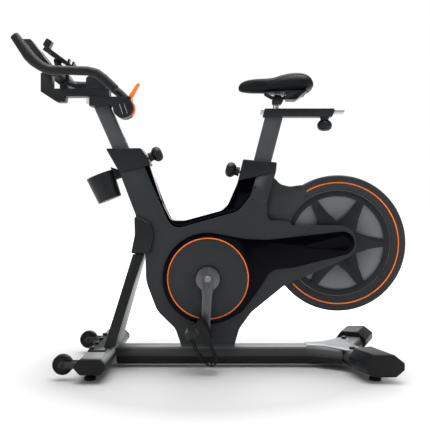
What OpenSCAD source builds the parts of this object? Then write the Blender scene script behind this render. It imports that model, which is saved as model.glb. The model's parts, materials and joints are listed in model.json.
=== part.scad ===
// Indoor exercise bike: +X points to the rear wheel, -Y to the rider's left, Z up from the floor.
// Side-view outlines are lists of corners [x, z, rounding radius].

/* [Drive] */
// Crank axle, distance behind the front reference line
crank_x = -28; // [-34:1:-22]
// Crank axle, height above the floor
crank_z = 317.5; // [312:0.5:323]
// Crank length, axle to pedal spindle
crank_length = 170; // [165:0.5:175]
// Crank angle forward of straight down
crank_angle = 2.6; // [0:0.1:6]
// Radius of the crank pulley
crank_pulley_r = 105; // [90:1:110]
// Radius of the flywheel pulley
small_pulley_r = 26; // [24:1:30]
// Lateral centre of the belt
belt_y = 38.5; // [38:0.1:39]
// Belt width
belt_w = 9; // [6:0.5:10]

/* [Flywheel] */
// Flywheel axle, distance behind the front reference line
wheel_x = 434; // [431:0.5:437]
// Flywheel axle, height above the floor
wheel_z = 441; // [438:0.5:444]
// Outer radius of the fixed guard ring
guard_r = 242; // [240:0.5:243]
// Inner radius of the guard ring
guard_inner_r = 190; // [189:0.5:196]
// Half width of the guard
guard_half = 26; // [26:1:26]
// Outer radius of the flywheel rim
rim_r = 228; // [220:1:232]
// Half width of the flywheel rim
rim_half = 12; // [10:0.5:12]
// Radius of both axles
axle_r = 8.5; // [7.5:0.5:8.5]

/* [Body covers] */
// Half width of the main covers
cover_half = 48; // [48:0.5:52]
// Half width of the covers at the two collars
collar_cover_half = 40; // [39:0.5:42]
// Wall of the moulded covers
cover_wall = 3; // [2.5:0.5:3]
// Thickness of the gloss side covers
side_cover_t = 6; // [4:0.5:8]
// Radius of the trim ring round the crank
crank_ring_r = 144; // [140:1:148]

/* [Posts] */
// Lean of the handlebar post, forward
head_lean = -24; // [-24.5:0.1:-23.5]
// Lean of the seat post, rearward
seat_lean = 14.5; // [14:0.1:15]
// Fore-aft size of the handlebar post
head_post_w = 55; // [50:0.5:55]
// Lateral size of the handlebar post
head_post_d = 36; // [32:0.5:36]
// Fore-aft size of the seat post
seat_post_w = 62; // [56:0.5:62]
// Lateral size of the seat post
seat_post_d = 38; // [34:0.5:38]
// Wall of both posts
post_wall = 2.5; // [2:0.5:3]
// Diameter of the index holes in the posts
index_hole = 10.5; // [8:0.5:11]

/* [Handlebar] */
// Radius of the coated handlebar tube
bar_r = 16; // [14:0.5:17]
// Half distance between the two grips
grip_half = 212; // [200:1:225]
// Width of the tablet rest
tablet_w = 190; // [160:2:230]

/* [Saddle] */
// Half width of the saddle at the rear
saddle_half = 92; // [80:1:100]

/* [Base] */
// Half width of the front stabilizer tube
front_half = 252; // [240:1:260]
// Half width over the rear boots
rear_half = 271.5; // [265:0.5:280]
// Height of the rail top above the floor
rail_top = 73; // [73:1:73]
// Radius of the transport wheels
transport_r = 33.5; // [30:0.5:35]
// Lateral place of the transport wheels
transport_y = 214; // [205:1:220]

/* [Hidden] */
$fn = 64;

crank = [crank_x, crank_z];
wheel = [wheel_x, wheel_z];
head_top = [-340.5, 776];
seat_top = [167, 738];
origin_shift = 10.51;
running_gap = 0.05;
slide_gap = 0.3;
gloss = "#050509";
charcoal = "#333638";
dark = "#26292b";
steel_grey = "#55585a";
light_metal = "#a0a2a4";
orange = "#eb6423";
rubber = "#17181a";
FACETS = 32;
BAR_SIDES = 14;
WIRE_SIDES = 8;

shroud_corners = [[-124, 84, 0], [-143, 140, 50], [-208, 203, 80], [-247, 305, 120],
    [-250, 420, 120], [-286, 548, 150], [-341, 690, 0], [-254, 712, 0], [-156, 488, 45],
    [78, 554, 60], [122, 608, 80], [143, 678, 0], [213, 696, 0], [180, 590, 80], [180, 522, 24],
    [262, 520, 6], [266, 505, 4], [496, 505, 60], [497, 404, 58], [238, 290, 8], [126, 199, 70],
    [82, 140, 70], [66, 84, 0]];
trim_corners = [[-254, 712, 0], [-236, 716.55, 0], [-226, 684, 30], [-193, 585, 60],
    [-160, 521, 22], [-112, 521, 30], [20, 557, 40], [42, 577, 40], [74, 650, 60], [78, 663, 0],
    [143, 678, 0], [122, 608, 80], [78, 554, 60], [-156, 488, 45]];
head_collar_corners = [[-391, 777, 4], [-267, 779, 10], [-248, 752, 14], [-233, 722, 5],
    [-236, 716.55, 0], [-341, 690, 0]];
seat_collar_corners = [[96, 739, 5], [216, 728, 5], [213, 696, 0], [143, 678, 0], [78, 663, 0]];
sleeve_corners = [[-287, 541, 8], [-285, 472, 60], [-298, 407, 5], [-232, 406, 5], [-219, 463, 30],
    [-226, 512, 26], [-256, 526, 8]];
side_cover_corners = [[-28, 317, 0], [-28, 478.5, 0], [20, 472, 60], [100, 457, 150],
    [180, 453, 200], [489, 487.6, 39], [489, 409, 41], [280, 358, 90], [195, 347, 50],
    [148, 274, 120], [92, 200, 0], [40, 171, 0]];
arm_corners = [[-70, 262, 40], [-70, 372, 40], [60, 480, 50], [262, 497, 0], [262, 330, 0],
    [120, 235, 50]];
fairing_corners = [[180, 690, 0], [209, 672, 8], [229, 651, 30], [262, 642, 50], [303, 648, 0],
    [345, 640, 0], [345, 600, 0], [280, 505.5, 0], [170, 505.5, 0]];

// ---------------------------------------------------------------- outlines
function unit(v) = v / norm(v);
function cross2(a, b) = a.x * b.y - a.y * b.x;
function at(points, i) = points[(i + len(points)) % len(points)];
function flat(p) = [p[0], p[1]];
function wrapped(a) = a > 180 ? a - 360 : a < -180 ? a + 360 : a;
function fillet(a, b, c, r, steps) =
    r <= 0 ? [b] :
    let (u = unit(a - b), v = unit(c - b), half = acos(u * v) / 2,
         centre = b + unit(u + v) * r / sin(half), reach = r / tan(half),
         first = b + u * reach - centre, last = b + v * reach - centre,
         start = atan2(first.y, first.x), sweep = wrapped(atan2(last.y, last.x) - start))
    [for (i = [0:steps]) centre + r * [cos(start + sweep * i / steps), sin(start + sweep * i / steps)]];
function rounded(corners, steps = 6) =
    [for (i = [0:len(corners) - 1])
        each fillet(flat(at(corners, i - 1)), flat(corners[i]), flat(at(corners, i + 1)),
                    corners[i][2], steps)];
function winding(corners) =
    sign([for (c = corners) 1] * [for (i = [0:len(corners) - 1])
        cross2(flat(corners[i]), flat(at(corners, i + 1)))]);
// Corner list moved inwards by d, with its radii adjusted to stay parallel
function inset(corners, d) =
    let (side = winding(corners))
    [for (i = [0:len(corners) - 1])
        let (b = flat(corners[i]), before = unit(b - flat(at(corners, i - 1))),
             after = unit(flat(at(corners, i + 1)) - b),
             n1 = side * [-before.y, before.x], n2 = side * [-after.y, after.x],
             moved = b + d * (n1 + n2) / (1 + n1 * n2), turn = side * cross2(before, after),
             r = corners[i][2])
        [moved.x, moved.y, turn > 0 ? max(r - d, 0) : r > 0 ? max(r + d, 0) : 0]];
function polar(centre, r, a) = centre + r * [cos(a), sin(a)];
function arc(centre, r, from, to, steps) =
    [for (i = [0:steps]) polar(centre, r, from + (to - from) * i / steps)];

// Solid between two lateral planes, its section drawn in the side view
module slab(from_y, to_y) {
    translate([0, to_y, 0]) rotate([90, 0, 0]) linear_extrude(to_y - from_y) children();
}
module outline_slab(corners, from_y, to_y) {
    slab(from_y, to_y) polygon(rounded(corners));
}
module lateral_cylinder(centre, r, from_y, to_y) {
    translate([centre.x, to_y, centre.y]) rotate([90, 0, 0]) cylinder(h = to_y - from_y, r = r);
}
// Box along a line in the side view
module bar(start, finish, width, depth) {
    run = finish - start;
    translate([start.x, 0, start.y]) rotate([0, -atan2(run.y, run.x), 0])
        translate([0, -depth / 2, -width / 2]) cube([norm(run), depth, width]);
}
// Bent rod with round ends and corners, as one faceted piece
module bent_rod(points, r, sides) {
    for (i = [0:len(points) - 2]) hull() {
        translate(points[i]) sphere(r = r, $fn = sides);
        translate(points[i + 1]) sphere(r = r, $fn = sides);
    }
}
// Outline round two circles of different size
module two_circle_loop(c1, r1, c2, r2) {
    run = c2 - c1;
    swing = acos((r1 - r2) / norm(run));
    heading = atan2(run.y, run.x);
    polygon(concat(arc(c1, r1, heading + swing, heading - swing + 360, 60),
                   arc(c2, r2, heading - swing, heading + swing, 30)));
}
module chamfered(w, d, c) {
    polygon([[-w / 2 + c, -d / 2], [w / 2 - c, -d / 2], [w / 2, -d / 2 + c], [w / 2, d / 2 - c],
             [w / 2 - c, d / 2], [-w / 2 + c, d / 2], [-w / 2, d / 2 - c], [-w / 2, -d / 2 + c]]);
}
module mirrored_pair() {
    children();
    mirror([0, 1, 0]) children();
}
module at_head() { translate([head_top.x, 0, head_top.y]) rotate([0, head_lean, 0]) children(); }
module at_seat() { translate([seat_top.x, 0, seat_top.y]) rotate([0, seat_lean, 0]) children(); }
module at_wheel() { translate([wheel.x, 0, wheel.y]) rotate([90, 0, 0]) children(); }
module at_crank() { translate([crank.x, 0, crank.y]) rotate([0, crank_angle, 0]) children(); }
// Hexagon-like section of the base tubes, flat top and bottom, widest at mid height
module base_section(half, low, high) {
    bevel = 13;
    mid = (low + high) / 2;
    polygon([[-half + bevel, low], [half - bevel, low], [half, mid - 4], [half, mid + 4],
             [half - bevel, high], [-half + bevel, high], [-half, mid + 4], [-half, mid - 4]]);
}
// Knob turned about its own Z axis, with its stem towards -Z
module knob(head_r, head_h, stem_r, stem_h) {
    rotate_extrude() polygon([[0, -stem_h], [stem_r, -stem_h], [stem_r * 0.92, -stem_h * 0.3],
        [stem_r, 0], [head_r * 0.86, head_h * 0.16], [head_r, head_h * 0.42],
        [head_r * 0.97, head_h * 0.6], [head_r * 0.82, head_h * 0.84], [head_r * 0.5, head_h * 0.97],
        [0, head_h]]);
}

// ---------------------------------------------------------------- base
rail_low = 12;
leg_low = 25;
rail_half = 44;
rail_front = -353;
rail_rear = 318;
leg_sweep = 20;
leg_half = 47;
front_x = -402;
front_low = 30.6;
front_high = 79.5;
front_section_half = 49;
boot_start = 150;
feet_front = [-413, 206];
feet_rear = [530, 212];
foot_r = 20;

module base_rail() {
    color(steel_grey) difference() {
        translate([rail_front, 0, 0]) rotate([90, 0, 90]) linear_extrude(rail_rear - rail_front)
            base_section(rail_half, rail_low, rail_top);
        translate([rail_front - 1, 0, 0]) rotate([90, 0, 90])
            linear_extrude(rail_rear - rail_front + 2)
                base_section(rail_half - 3, rail_low + 3, rail_top - 3);
    }
}
module on_leg(from, to) {
    // Centre line leaves the middle at x = 455 and sweeps rearward
    translate([455, 0, 0]) rotate([0, 0, leg_sweep]) rotate([90, 0, 0]) translate([0, 0, from])
        linear_extrude(to - from) children();
}
module rear_stabilizer() {
    color(steel_grey) {
        mirrored_pair() on_leg(-18, boot_start) base_section(leg_half, leg_low, rail_top + 2);
        hull() {
            translate([rail_rear, 0, 0]) rotate([90, 0, 90]) linear_extrude(1)
                base_section(rail_half, rail_low, rail_top);
            translate([345, 0, 0]) rotate([90, 0, 90]) linear_extrude(1)
                base_section(rail_half + 3, rail_low, rail_top + 2);
        }
        hull() {
            translate([345, 0, 0]) rotate([90, 0, 90]) linear_extrude(1)
                base_section(rail_half + 3, rail_low, rail_top + 2);
            translate([438, 0, 0]) rotate([90, 0, 90]) linear_extrude(1)
                base_section(104, leg_low, rail_top + 2);
        }
    }
}
module gusset_plate() {
    color(light_metal) translate([0, 0, rail_top + 2]) linear_extrude(3) polygon(rounded(
        [[322, -30, 0], [350, -30, 10], [386, -44, 30], [452, -112, 8], [484, -124, 8], [494, -100, 8],
         [478, -28, 14], [478, 28, 14], [494, 100, 8], [484, 124, 8], [452, 112, 8], [386, 44, 30],
         [350, 30, 10], [322, 30, 0]]));
}
module rear_boot() {
    // Moulded sleeve along the leg, cut square to the bike at its outer end
    difference() {
        on_leg(boot_start, 320) polygon(rounded([[-58, 66, 8], [-37, 95, 8], [26, 95, 8],
            [58, 68, 8], [58, 46, 8], [32, 22, 8], [-37, 22, 8], [-58, 44, 8]]));
        translate([300, -rear_half - 200, -50]) cube([500, 200, 200]);
    }
}
module front_octagon(grow) {
    translate([front_x, 0]) polygon([
        [-front_section_half + 17 - grow / 2, front_low - grow],
        [front_section_half - 17 + grow / 2, front_low - grow],
        [front_section_half + grow, front_low + 17], [front_section_half + grow, front_high - 17],
        [front_section_half - 17 + grow / 2, front_high + grow],
        [-front_section_half + 17 - grow / 2, front_high + grow],
        [-front_section_half - grow, front_high - 17], [-front_section_half - grow, front_low + 17]]);
}
module end_boots() {
    color(rubber) mirrored_pair() {
        rear_boot();
        slab(-front_half - 22, -front_half) front_octagon(1);
    }
}
module front_stabilizer() {
    color(charcoal) {
        difference() {
            slab(-front_half, front_half) front_octagon(0);
            slab(-front_half - 1, front_half + 1) front_octagon(-3);
        }
        mirrored_pair() {
            wheel_fork();
            lateral_cylinder(transport, 5, -transport_y - 20, -transport_y + 20);
        }
    }
}
module foot(place, top) {
    translate([place.x, place.y, 0]) {
        cylinder(h = 9, r = foot_r);
        translate([0, 0, 9]) cylinder(h = 5, r1 = foot_r, r2 = 12);
        translate([0, 0, 14]) cylinder(h = top - 14, r = 6);
    }
}
module leveling_feet() {
    color(rubber) mirrored_pair() {
        foot([feet_front.x, -feet_front.y], front_low);
        foot([feet_rear.x, -feet_rear.y], 22);
    }
}
transport = [-501, 52];
module wheel_fork() {
    // Two cheeks reach forward from the tube's flat front face
    for (side = [-1, 1]) translate([0, -transport_y + side * 15.5, 0]) difference() {
        union() {
            lateral_cylinder(transport, 12, -2.5, 2.5);
            translate([transport.x, -2.5, transport.y - 11]) cube([front_x - front_section_half - transport.x, 5, 22]);
        }
        lateral_cylinder(transport, 5, -3, 3);
    }
}
module transport_wheel(y) {
    translate([transport.x, y, transport.y]) rotate([90, 0, 0]) color(rubber) difference() {
        rotate_extrude() polygon([[5 + running_gap, -11], [20, -11], [22, -9], [transport_r - 6, -9],
            [transport_r - 4, -12], [transport_r - 1.5, -12], [transport_r, -9], [transport_r, 9],
            [transport_r - 1.5, 12], [transport_r - 4, 12], [transport_r - 6, 9], [22, 9], [20, 11],
            [5 + running_gap, 11]]);
    }
}
module transport_wheel_left() { transport_wheel(-transport_y); }
module transport_wheel_right() { transport_wheel(transport_y); }
module hex_bolt(r, h) {
    cylinder(h = h, r = r, $fn = 6);
}
caliper_pivot = [174, 476];
module frame_bolts() {
    color(light_metal) {
        mirrored_pair() {
            for (p = [[-424, -128], [-424, -40]]) translate([p.x, p.y, 85]) hex_bolt(9, 7);
            translate([474, -96, rail_top + 5]) hex_bolt(11, 8);
            for (y = [-transport_y - 20, -transport_y + 20])
                lateral_cylinder(transport, 7.5, y - (y < -transport_y ? 4 : 0), y + (y < -transport_y ? 0 : 4));
        }
        lateral_cylinder(caliper_pivot, 5, -26, 26);
    }
}

// ---------------------------------------------------------------- front support
strut_foot = [-368, 85];
strut_knee = [-274, 402];
strut_top = [-240, 513];
strut_t = 36;
module strut_lower(grow) {
    hull() {
        translate([strut_foot.x - strut_t / 2 - grow, -100 - grow, strut_foot.y])
            cube([strut_t + 2 * grow, 200 + 2 * grow, 1]);
        translate([strut_knee.x - strut_t / 2 - grow, -60 - grow, strut_knee.y])
            cube([strut_t + 2 * grow, 120 + 2 * grow, 1]);
    }
}
module strut_neck(width, depth) {
    bar(strut_knee, strut_top, width, depth);
}
module front_strut() {
    color(dark) {
        difference() {
            union() {
                strut_lower(0);
                intersection() {
                    translate([-400, -40, strut_knee.y]) cube([400, 80, 200]);
                    bar(strut_knee - [3, 10], strut_top, 26, 80);
                }
            }
            at_head() translate([-head_tube_w / 2, -50, -400]) cube([200, 100, 500]);
        }
        translate([front_x - 30, -150, front_high]) cube([60, 300, strut_foot.y - front_high]);
    }
}
module strut_cover() {
    color(dark) difference() {
        outline_slab(sleeve_corners, -66, 66);
        strut_lower(0.4);
        translate([-300, -41, 400]) cube([120, 82, 170]);
        outline_slab(inset(shroud_corners, -0.4), -cover_half - 0.4, cover_half + 0.4);
        translate([-262, -61, 395]) cube([20, 122, 9]);
    }
}

// ---------------------------------------------------------------- welded frame
head_tube_w = head_post_w + 10;
head_tube_d = head_post_d + 10;
seat_tube_w = seat_post_w + 10;
seat_tube_d = 2 * guard_half;
head_tube_bottom = -370;
seat_tube_bottom = -376;
tube_top = -14;
bore_gap = 2.4;
pedestal_w = 88;
pedestal_d = 50;
module head_tube_space(grow) {
    at_head() translate([-head_tube_w / 2 - grow, -head_tube_d / 2 - grow, head_tube_bottom - 10])
        cube([head_tube_w + 2 * grow, head_tube_d + 2 * grow, tube_top - head_tube_bottom + 10]);
}
module seat_tube_space(grow) {
    at_seat() translate([-seat_tube_w / 2 - grow, -seat_tube_d / 2 - grow, seat_tube_bottom - 10])
        cube([seat_tube_w + 2 * grow, seat_tube_d + 2 * grow, tube_top - seat_tube_bottom + 10]);
}
module main_frame() {
    spine_start = [-188, 440];
    seat_foot = [77, 376];
    color(steel_grey) difference() {
        union() {
            at_head() translate([-head_tube_w / 2, -head_tube_d / 2, head_tube_bottom])
                cube([head_tube_w, head_tube_d, tube_top - head_tube_bottom]);
            at_seat() translate([-seat_tube_w / 2, -seat_tube_d / 2, seat_tube_bottom])
                cube([seat_tube_w, seat_tube_d, tube_top - seat_tube_bottom]);
            bar(spine_start, crank, 56, 42);
            bar(seat_foot, crank, 56, 48);
            bar([-150, 452], [100, 452], 34, 38);
            bar(crank, [crank.x, rail_top], pedestal_w, pedestal_d);
            translate([-124, -30, rail_top]) cube([190, 60, 8]);
            lateral_cylinder(crank, 34, -guard_half, guard_half);
        }
        at_head() translate([-(head_post_w + bore_gap) / 2, -(head_post_d + bore_gap) / 2, head_tube_bottom + 6])
            cube([head_post_w + bore_gap, head_post_d + bore_gap, 500]);
        at_seat() translate([-(seat_post_w + bore_gap) / 2, -(seat_post_d + bore_gap) / 2, seat_tube_bottom + 6])
            cube([seat_post_w + bore_gap, seat_post_d + bore_gap, 500]);
        lateral_cylinder(crank, bearing_r, -guard_half - 1, guard_half + 1);
        at_head() translate([20, 0, pin_z_head]) rotate([0, 90, 0]) cylinder(h = 30, r = 7);
        at_seat() translate([-20, 0, pin_z_seat]) rotate([0, -90, 0]) cylinder(h = 30, r = 7);
    }
}
bearing_r = 20;
bearing_w = 12;
arm_t = 5;
module wheel_arms() {
    color(steel_grey) mirrored_pair() difference() {
        union() {
            outline_slab(arm_corners, -guard_half - arm_t, -guard_half);
            intersection() {
                outline_slab(shroud_corners, -guard_half - arm_t, -guard_half);
                lateral_cylinder(wheel, guard_r + 4, -guard_half - arm_t - 1, -guard_half + 1);
            }
            lateral_cylinder(wheel, 27, -guard_half - arm_t, -guard_half - arm_t + bearing_w);
        }
        lateral_cylinder(wheel, bearing_r, -guard_half - arm_t - 1, 0);
        lateral_cylinder(crank, 14, -guard_half - arm_t - 1, 0);
        lateral_cylinder(caliper_pivot, 5, -guard_half - arm_t - 1, 0);
    }
}
module bearing(centre, from_y) {
    translate([centre.x, from_y + bearing_w, centre.y]) rotate([90, 0, 0]) rotate_extrude() polygon([
        [axle_r + running_gap, 0], [bearing_r - 0.6, 0], [bearing_r, 0.6],
        [bearing_r, bearing_w - 0.6], [bearing_r - 0.6, bearing_w], [axle_r + running_gap, bearing_w]]);
}
module bearings() {
    color(light_metal) {
        bearing(wheel, -guard_half - arm_t);
        bearing(wheel, guard_half + arm_t - bearing_w);
        bearing(crank, -guard_half);
        bearing(crank, guard_half - bearing_w);
    }
}

// ---------------------------------------------------------------- covers
taper_start = 545;
taper_end = 700;
module taper_profile(shrink) {
    // Front view: full width below, narrowing towards the collars
    full = cover_half - shrink;
    narrow = collar_cover_half - shrink;
    translate([-500, 0, 0]) rotate([90, 0, 90]) linear_extrude(1200) polygon([[-full, 0], [full, 0],
        [full, taper_start], [narrow, taper_end], [narrow, 900], [-narrow, 900], [-narrow, taper_end],
        [-full, taper_start]]);
}
module shroud_half() {
    // Left half, from the centre plane outwards to -Y
    difference() {
        intersection() {
            outline_slab(shroud_corners, -cover_half, 0);
            taper_profile(0);
        }
        difference() {
            intersection() {
                outline_slab(inset(shroud_corners, cover_wall), -cover_half, 1);
                taper_profile(cover_wall);
            }
            difference() {
                lateral_cylinder(wheel, guard_r + 7, -guard_half, 2);
                translate([100, -60, 380]) cube([110, 70, 180]);
            }
        }
        lateral_cylinder(wheel, guard_r + 4, -guard_half - arm_t, 2);
        lateral_cylinder(crank, 24, -cover_half - 1, 2);
        head_tube_space(0.3);
        seat_tube_space(0.3);
        translate([-300, -41, 400]) cube([70, 42, 160]);
        translate([crank.x - pedestal_w / 2 - 0.3, -pedestal_d / 2 - 0.3, 80])
            cube([pedestal_w + 0.6, pedestal_d, 12]);
        at_head() translate([0, -60, tube_top - 20]) cube([200, 120, 100]);
    }
}
module left_shroud() { color(charcoal) shroud_half(); }
module right_shroud() { color(charcoal) mirror([0, 1, 0]) shroud_half(); }
trim_half = 34;
module window_trim() {
    color(gloss) difference() {
        outline_slab(trim_corners, -trim_half, trim_half);
        outline_slab(inset(trim_corners, 2.5), -trim_half + 2.5, trim_half - 2.5);
        head_tube_space(0.3);
        seat_tube_space(0.3);
        at_head() translate([20, 0, pin_z_head]) rotate([0, 90, 0]) cylinder(h = 80, r = 14);
        at_seat() translate([-20, 0, pin_z_seat]) rotate([0, -90, 0]) cylinder(h = 80, r = 14);
    }
}
pin_z_head = -67;
pin_z_seat = -62;
module head_collar() {
    color(dark) difference() {
        outline_slab(head_collar_corners, -43, 43);
        head_tube_space(0);
        at_head() translate([-(head_post_w + bore_gap) / 2, -(head_post_d + bore_gap) / 2, -60])
            cube([head_post_w + bore_gap, head_post_d + bore_gap, 160]);
        at_head() translate([20, 0, pin_z_head]) rotate([0, 90, 0]) cylinder(h = 80, r = 7);
    }
}
module seat_collar() {
    color(dark) difference() {
        outline_slab(seat_collar_corners, -43, 43);
        seat_tube_space(0);
        at_seat() translate([-(seat_post_w + bore_gap) / 2, -(seat_post_d + bore_gap) / 2, -60])
            cube([seat_post_w + bore_gap, seat_post_d + bore_gap, 160]);
        at_seat() translate([-20, 0, pin_z_seat]) rotate([0, -90, 0]) cylinder(h = 80, r = 7);
    }
}
badge_front = [320, 430];
badge_rear = [448, 441];
module side_cover() {
    difference() {
        union() {
            outline_slab(side_cover_corners, -cover_half - side_cover_t, -cover_half);
            lateral_cylinder(crank, crank_ring_r + 17, -cover_half - side_cover_t, -cover_half);
        }
        lateral_cylinder(crank, crank_ring_r, -cover_half - side_cover_t - 1, -cover_half + 1);
    }
    slab(-cover_half - side_cover_t - 0.8, -cover_half - side_cover_t) difference() {
        two_circle_loop(badge_rear, 27, badge_front, 7);
        two_circle_loop(badge_rear, 25, badge_front, 5);
    }
}
module side_cover_left() { color(gloss) side_cover(); }
module side_cover_right() { color(gloss) mirror([0, 1, 0]) side_cover(); }
module crank_covers() {
    color(dark) mirrored_pair() difference() {
        lateral_cylinder(crank, crank_ring_r - 3.8, -cover_half - side_cover_t, -cover_half);
        lateral_cylinder(crank, 24, -cover_half - side_cover_t - 1, -cover_half + 1);
    }
}
ring_start = -138;
ring_sweep = 259;
module accent_rings() {
    color(orange) mirrored_pair() {
        difference() {
            lateral_cylinder(crank, crank_ring_r, -cover_half - side_cover_t - 1.5, -cover_half);
            lateral_cylinder(crank, crank_ring_r - 3.8, -cover_half - side_cover_t - 2, -cover_half + 1);
        }
        at_wheel() rotate([0, 0, ring_start]) rotate_extrude(angle = ring_sweep)
            translate([213.5, guard_half]) square([4, 1.4]);
    }
}
module guard_half_shell() {
    // Fixed guard: an annular tray round the flywheel, with the fairing towards the seat
    at_wheel() rotate_extrude() polygon([[guard_r - 3, 0], [guard_r, 0], [guard_r, guard_half - 4],
        [guard_r - 4, guard_half], [guard_r - 26, guard_half], [guard_inner_r + 1, 17],
        [guard_inner_r, 14.5], [guard_inner_r + 2, 14.5], [guard_r - 25, guard_half - 3],
        [guard_r - 5, guard_half - 3], [guard_r - 3, guard_half - 5]]);
    difference() {
        outline_slab(fairing_corners, -guard_half, 0);
        outline_slab(inset(fairing_corners, 3), -guard_half + 3, 1);
        outline_slab(shroud_corners, -guard_half - 1, 1);
        lateral_cylinder(wheel, guard_r - 5, -guard_half - 1, 1);
        seat_tube_space(0.3);
        seat_clear();
    }
}
module seat_clear() {
    outline_slab(seat_collar_corners, -60, 60);
}
module caliper_window() {
    // The magnets reach the rim through this opening in the guard
    translate([160, -60, 405]) cube([97, 120, 96]);
}
module wheel_guard_left() {
    color(charcoal) difference() { guard_half_shell(); caliper_window(); }
}
module wheel_guard_right() {
    color(charcoal) mirror([0, 1, 0]) difference() { guard_half_shell(); caliper_window(); }
}
module cover_screws() {
    color(rubber) mirrored_pair() {
        for (p = [[137, 640], [129, 598], [-205, 600], [330, 495], [-60, 112], [20, 112]])
            lateral_cylinder(p, 4, -side_at(p.y) - 1.5, -side_at(p.y) - 0.3);
        for (p = [[200, 540], [322, 607], [290, 637]])
            lateral_cylinder(p, 4, -guard_half - 1.2, -guard_half);
    }
}
function side_at(z) = cover_half - (cover_half - collar_cover_half)
    * max(0, min(1, (z - taper_start) / (taper_end - taper_start)));

// ---------------------------------------------------------------- drive
module drive_belt() {
    belt_t = 3;
    color(rubber) difference() {
        slab(belt_y - belt_w / 2, belt_y + belt_w / 2) two_circle_loop(crank,
            crank_pulley_r + slide_gap + belt_t, wheel, small_pulley_r + slide_gap + belt_t);
        slab(belt_y - belt_w, belt_y + belt_w) two_circle_loop(crank,
            crank_pulley_r + slide_gap, wheel, small_pulley_r + slide_gap);
    }
}
module magnet_caliper() {
    color(steel_grey) difference() {
        union() {
            lateral_cylinder(caliper_pivot, 11, -20, 20);
            for (side = [-1, 1]) translate([0, side * 17, 0])
                slab(-2.5, 2.5) polygon([[168, 468], [180, 486], [238, 478], [246, 430], [222, 424], [186, 450]]);
            translate([182, -19.5, 455]) cube([8, 39, 26]);
        }
        lateral_cylinder(caliper_pivot, 5 + running_gap, -21, 21);
    }
}
module flywheel() {
    color(steel_grey) at_wheel() rotate_extrude() polygon([[axle_r, -rim_half], [30, -rim_half],
        [32, -5], [165, -5], [167, -rim_half], [rim_r - 2, -rim_half], [rim_r, -rim_half + 2],
        [rim_r, rim_half - 2], [rim_r - 2, rim_half], [167, rim_half], [165, 5], [32, 5],
        [30, rim_half], [axle_r, rim_half]]);
}
spoke_count = 6;
module spoke_cover() {
    at_wheel() difference() {
        translate([0, 0, rim_half]) cylinder(h = 5, r = guard_inner_r - 3);
        translate([0, 0, rim_half - 1]) cylinder(h = 8, r = axle_r + 12);
        for (i = [0:spoke_count - 1]) rotate([0, 0, 30 + i * 360 / spoke_count]) intersection() {
            translate([0, 0, rim_half - 1]) cylinder(h = 8, r = 167);
            translate([0, 0, rim_half - 1]) linear_extrude(8) polygon([[76, 0], [108, 37], [146, 68],
                [186, 84], [186, -84], [146, -68], [108, -37]]);
        }
    }
}
module spoke_covers() { color(gloss) mirrored_pair() spoke_cover(); }
module flywheel_axle() { color(light_metal) lateral_cylinder(wheel, axle_r, -33, 44.5); }
module pulley(centre, r) {
    translate([centre.x, belt_y + 5, centre.y]) rotate([90, 0, 0]) rotate_extrude() polygon([[axle_r, 0],
        [r * 0.98, 0], [r, 0.4], [r, 9.6], [r * 0.98, 10], [axle_r, 10]]);
}
module flywheel_pulley() { color(dark) pulley(wheel, small_pulley_r); }
module crank_pulley() {
    color(dark) difference() {
        pulley(crank, crank_pulley_r);
        for (i = [0:5]) translate([crank.x, 0, crank.y]) rotate([0, i * 60, 0])
            lateral_cylinder([62, 0], 22, belt_y - 6, belt_y + 6);
    }
}

// ---------------------------------------------------------------- cranks and pedals
arm_inner = 61;
arm_outer = 76;
pedal_y = 86;
module crank_axle() {
    color(light_metal) {
        lateral_cylinder(crank, axle_r, -arm_outer + 3, arm_outer - 3);
        mirrored_pair() lateral_cylinder(crank, 11, -arm_outer - 2, -arm_outer + 3);
    }
}
module crank_arm() {
    // Drawn hanging straight down from the axle
    difference() {
        union() {
            lateral_cylinder([0, 0], 42, -arm_outer + 3, -arm_inner);
            lateral_cylinder([0, -crank_length], 17, -arm_outer, -arm_inner);
            slab(-arm_outer, -arm_inner) polygon([[-19, 10], [19, 10], [23, -22], [17, -60],
                [16, -crank_length], [-16, -crank_length], [-17, -60], [-23, -22]]);
        }
        lateral_cylinder([0, 0], axle_r, -arm_outer - 1, 0);
        lateral_cylinder([0, 0], 11, -arm_outer - 1, -arm_outer + 3);
        lateral_cylinder([0, -crank_length], 7, -arm_outer - 1, 0);
    }
}
module crank_arm_left() { color(steel_grey) at_crank() crank_arm(); }
module crank_arm_right() { color(steel_grey) at_crank() rotate([0, 180, 0]) mirror([0, 1, 0]) crank_arm(); }
// Pedal frame: origin at the spindle, outwards along -Y, sole side up
module at_left_pedal() { at_crank() translate([0, 0, -crank_length]) rotate([0, 61.4, 0]) children(); }
module at_right_pedal() {
    at_crank() translate([0, 0, crank_length]) rotate([0, -8, 0]) mirror([0, 1, 0]) children();
}
module spindle() {
    lateral_cylinder([0, 0], 7, -arm_outer, -arm_inner);
    lateral_cylinder([0, 0], 6, -pedal_y - 84, -arm_outer);
}
module pedal_spindles() {
    color(light_metal) {
        at_left_pedal() spindle();
        at_right_pedal() spindle();
    }
}
module pedal() {
    body = [[-42, -11, 4], [-42, 9, 4], [-12, 14, 8], [12, 14, 8], [42, 9, 4], [42, -11, 4],
            [12, -15, 8], [-12, -15, 8]];
    difference() {
        union() {
            outline_slab(body, -pedal_y - 10, -pedal_y);
            outline_slab(body, -pedal_y - 90, -pedal_y - 80);
            lateral_cylinder([0, 0], 13, -pedal_y - 90, -pedal_y);
            for (x = [-42, 34]) translate([x, -pedal_y - 85, -9]) cube([8, 80, 16]);
            for (y = [-33, -57]) translate([-36, -pedal_y + y, -7]) cube([72, 5, 14]);
        }
        lateral_cylinder([0, 0], 6 + running_gap, -pedal_y - 84.5, 0);
    }
}
module pedal_left() { color(rubber) at_left_pedal() pedal(); }
module pedal_right() { color(rubber) at_right_pedal() pedal(); }
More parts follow.
